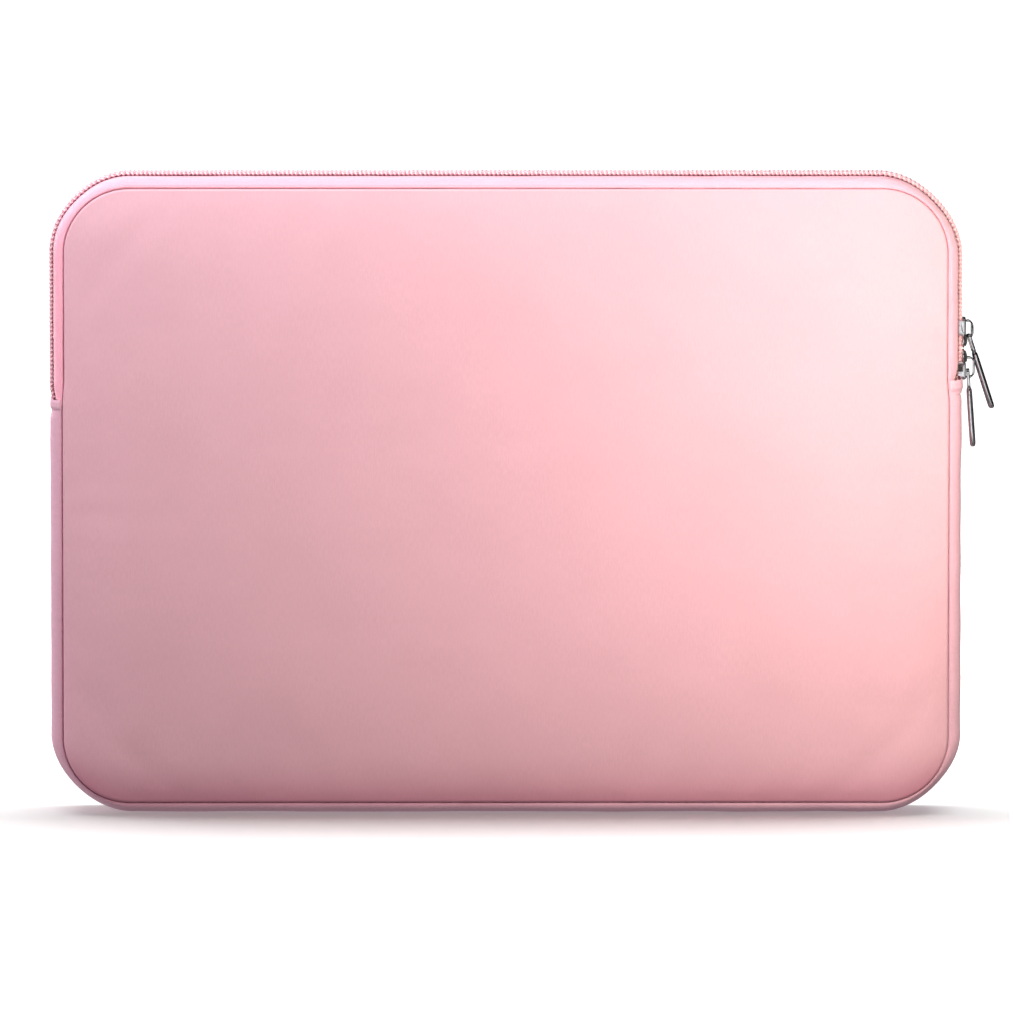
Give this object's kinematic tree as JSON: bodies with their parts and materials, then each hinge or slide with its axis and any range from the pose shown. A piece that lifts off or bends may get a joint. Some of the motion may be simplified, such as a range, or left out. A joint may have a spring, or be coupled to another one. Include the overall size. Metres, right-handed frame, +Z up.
{
  "type": "laptop sleeve",
  "caption": "Slim padded sleeve for a 13.3-inch laptop: layered foam panels in smooth fabric, a gusset, and a zip over the top and down both sides with two metal sliders.",
  "frame": {"origin": "centre of the flat strip of the bottom edge, which it stands on", "axes": "+Z up, +X along the long side towards the parked sliders, the front panel faces -Y"},
  "size_m": [0.3631, 0.024, 0.2472],
  "materials": {
    "outer_fabric": "matte",
    "foam": "matte",
    "plush_lining": "matte",
    "zip_tape": "matte",
    "zip_coil": "satin",
    "binding": "matte",
    "slider_metal": "polished"
  },
  "bodies": {
    "sleeve": {"back_shell": "outer_fabric", "back_foam": "foam", "back_lining": "plush_lining", "front_shell_lower": "outer_fabric", "front_foam_lower": "foam", "front_lining_lower": "plush_lining", "gusset_shell": "outer_fabric", "gusset_foam": "foam", "gusset_lining": "plush_lining", "back_zip_tape": "zip_tape", "back_zip_coil": "zip_coil", "front_zip_tape_left": "zip_tape", "front_zip_tape_right": "zip_tape", "front_zip_coil_left": "zip_coil", "front_zip_coil_right": "zip_coil", "left_end_tab": "outer_fabric", "right_end_tab": "outer_fabric", "back_seam_binding": "binding", "front_seam_binding_lower": "binding"},
    "mouth_flap": {"front_shell_flap": "outer_fabric", "front_foam_flap": "foam", "front_lining_flap": "plush_lining", "front_zip_tape_flap": "zip_tape", "front_zip_coil_flap": "zip_coil", "front_seam_binding_flap": "binding"},
    "lower_slider": {"lower_slider_body": "slider_metal", "lower_slider_crown": "slider_metal"},
    "upper_slider": {"upper_slider_body": "slider_metal", "upper_slider_crown": "slider_metal"},
    "lower_pull": {"lower_pull": "slider_metal"},
    "upper_pull": {"upper_pull": "slider_metal"}
  },
  "joints": [
    {"name": "flap_fold", "type": "hinge", "parent": "sleeve", "child": "mouth_flap", "pos_m": [0, -0.0125, 0.21], "axis": [1, 0, 0], "range_deg": [0, 100], "stiffness_Nm_per_rad": 0.012},
    {"name": "lower_slider_travel", "type": "slide", "parent": "sleeve", "child": "lower_slider", "axis": [0, 0, 1], "range_m": [0, 0.005]},
    {"name": "upper_slider_travel", "type": "slide", "parent": "lower_slider", "child": "upper_slider", "axis": [0, 0, 1], "range_m": [0, 0.011]},
    {"name": "lower_pull_swing", "type": "hinge", "parent": "lower_slider", "child": "lower_pull", "pos_m": [0.1773, 0, 0.1702], "axis": [0, -1, 0], "range_deg": [0, 17]},
    {"name": "upper_pull_swing", "type": "hinge", "parent": "upper_slider", "child": "upper_pull", "pos_m": [0.1776, 0, 0.1837], "axis": [0, -1, 0], "range_deg": [0, 120]}
  ]
}
